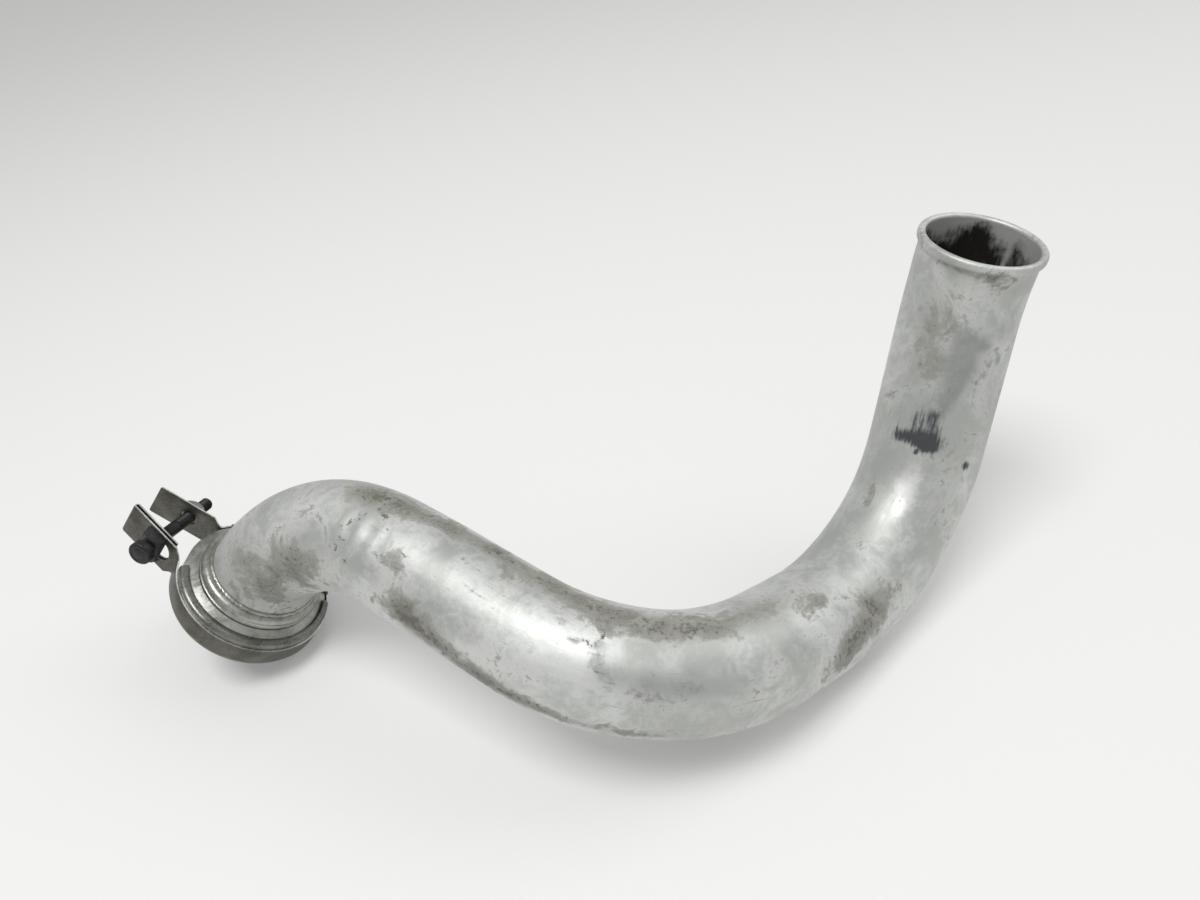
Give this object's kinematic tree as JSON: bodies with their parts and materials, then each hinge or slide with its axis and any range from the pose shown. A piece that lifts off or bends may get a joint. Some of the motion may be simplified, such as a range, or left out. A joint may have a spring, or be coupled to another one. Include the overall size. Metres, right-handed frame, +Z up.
{
  "type": "charge air pipe with v-band clamp",
  "caption": "Rigid bent aluminium charge air pipe with a beaded hose end, and a V-band flange at the other end that carries its clamp.",
  "frame": {"origin": "centre of the flange's mating face, on the flange axis", "axes": "+Z up as the pipe lies on a flat surface, on the clamp's lower edge and the lowest bend; the flange axis lies in the XZ plane and leans 42.6 degrees from +Z towards +X, into the pipe"},
  "size_m": [0.6851, 0.279, 0.2528],
  "materials": {
    "pipe": "satin, blotched with oxide and oily grime",
    "flange": "turned, dulled",
    "weld": "as welded",
    "seal": "matt black",
    "segments": "pressed sheet, dulled",
    "strap": "rolled sheet, dulled",
    "bolt": "black phosphate with oil",
    "saddle": "black phosphate with oil",
    "nut": "zinc plated, dull"
  },
  "bodies": {
    "root": {"charge_pipe": "pipe", "pipe_flange": "flange", "flange_weld": "weld", "seal_ring": "seal", "v_segment_front": "segments", "v_segment_back": "segments", "clamp_strap": "strap", "clamp_bolt": "bolt", "bolt_saddle": "saddle", "clamp_nut": "nut"}
  },
  "joints": []
}
